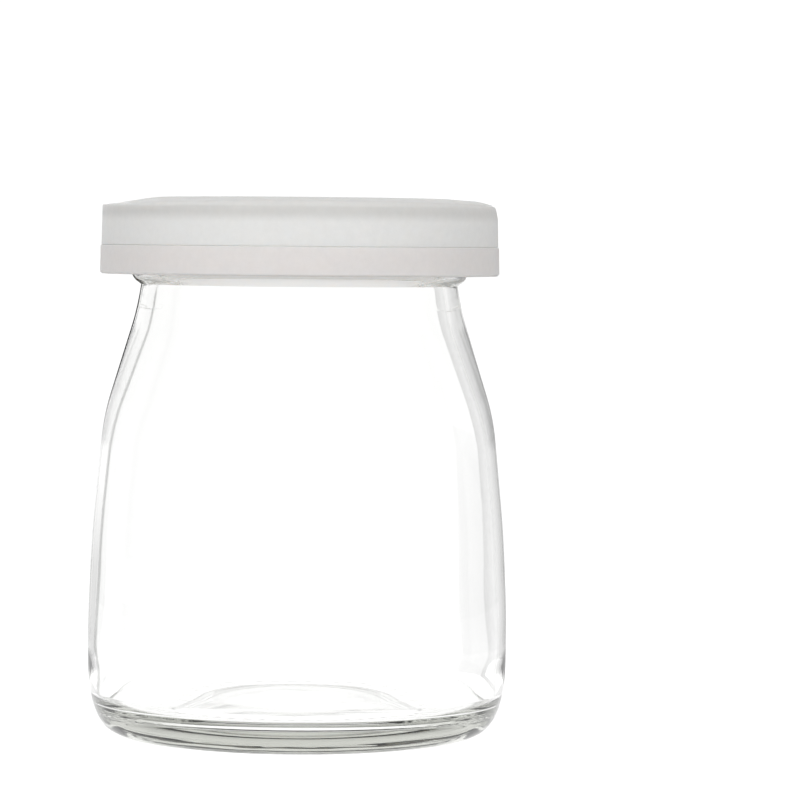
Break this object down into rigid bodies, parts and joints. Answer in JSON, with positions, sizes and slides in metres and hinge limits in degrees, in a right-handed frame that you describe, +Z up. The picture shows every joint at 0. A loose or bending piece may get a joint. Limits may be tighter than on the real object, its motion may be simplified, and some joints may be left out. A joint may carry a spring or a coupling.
{
  "type": "glass yogurt jar",
  "caption": "Small clear glass jar with a flared neck, rounded shoulder and thick base, shut by a frosted plastic snap lid.",
  "frame": {"origin": "centre of the ring that the jar stands on", "axes": "+Z up along the jar's axis, +X and +Y any two directions across it"},
  "size_m": [0.0632, 0.0632, 0.0809],
  "materials": {
    "clear_glass": "smooth clear moulded soda-lime glass",
    "frosted_plastic": "soft frosted translucent polyethylene"
  },
  "bodies": {
    "root": {"jar": "clear_glass", "lid": "frosted_plastic"}
  },
  "joints": []
}
